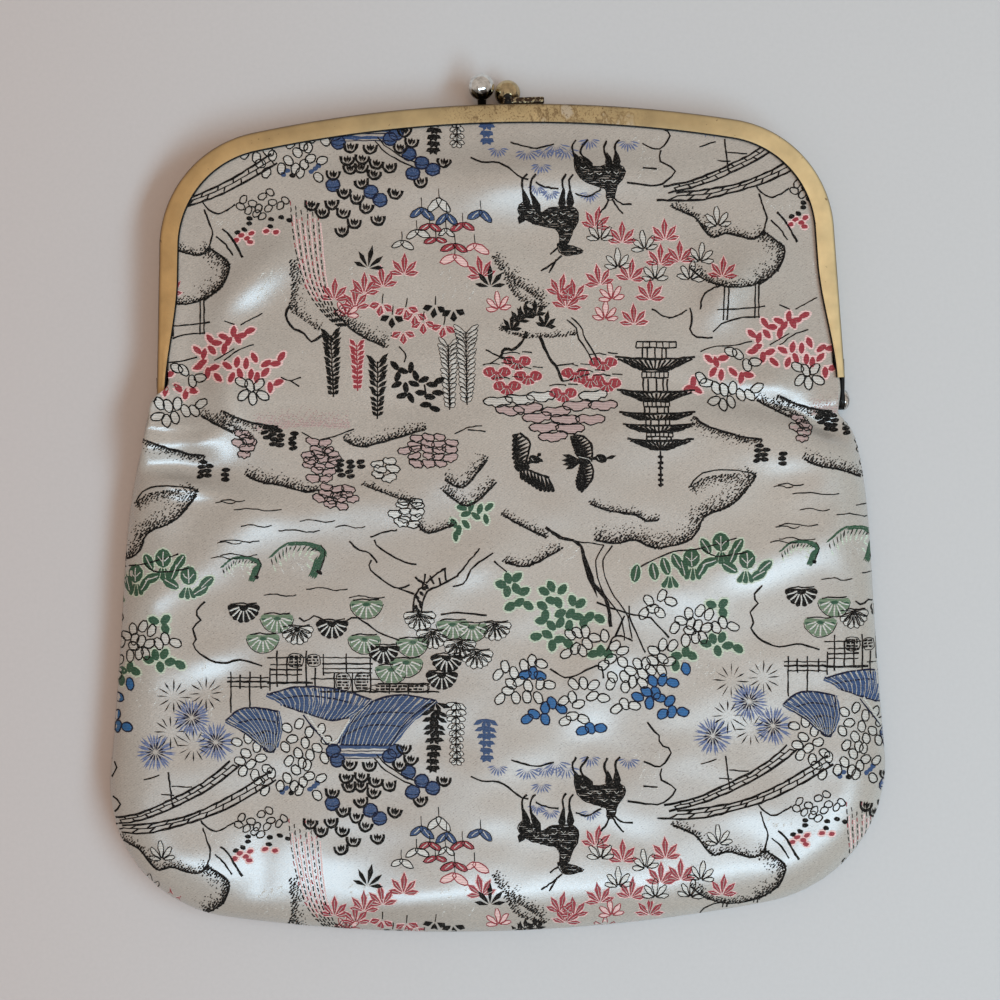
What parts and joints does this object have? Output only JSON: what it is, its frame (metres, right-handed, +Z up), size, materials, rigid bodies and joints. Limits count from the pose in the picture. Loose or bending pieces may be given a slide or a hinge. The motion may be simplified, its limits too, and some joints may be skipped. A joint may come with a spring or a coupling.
{
  "type": "clasp clutch bag",
  "caption": "Flat clutch bag of silver satin brocade with a garden landscape weave, a hinged gilt frame and a kiss-lock ball clasp, lying on its back.",
  "frame": {"origin": "under the middle of the bag's bounding box, on the surface that it lies on", "axes": "+X to the right across the bag, +Y from the bottom seam towards the clasp, +Z up, out of the front panel"},
  "size_m": [0.204, 0.2252, 0.0135],
  "materials": {
    "brocade": "silver satin with a coloured woven landscape",
    "gilt": "satin gilt, worn and specked",
    "nickel": "polished nickel, tarnished",
    "worn_gilt": "polished gilt, dulled"
  },
  "bodies": {
    "root": {"front_panel": "brocade", "back_panel": "brocade", "front_frame": "gilt", "back_frame": "gilt", "front_clasp_ball": "worn_gilt", "back_clasp_ball": "nickel", "left_hinge_rivet": "nickel", "right_hinge_rivet": "nickel"}
  },
  "joints": []
}
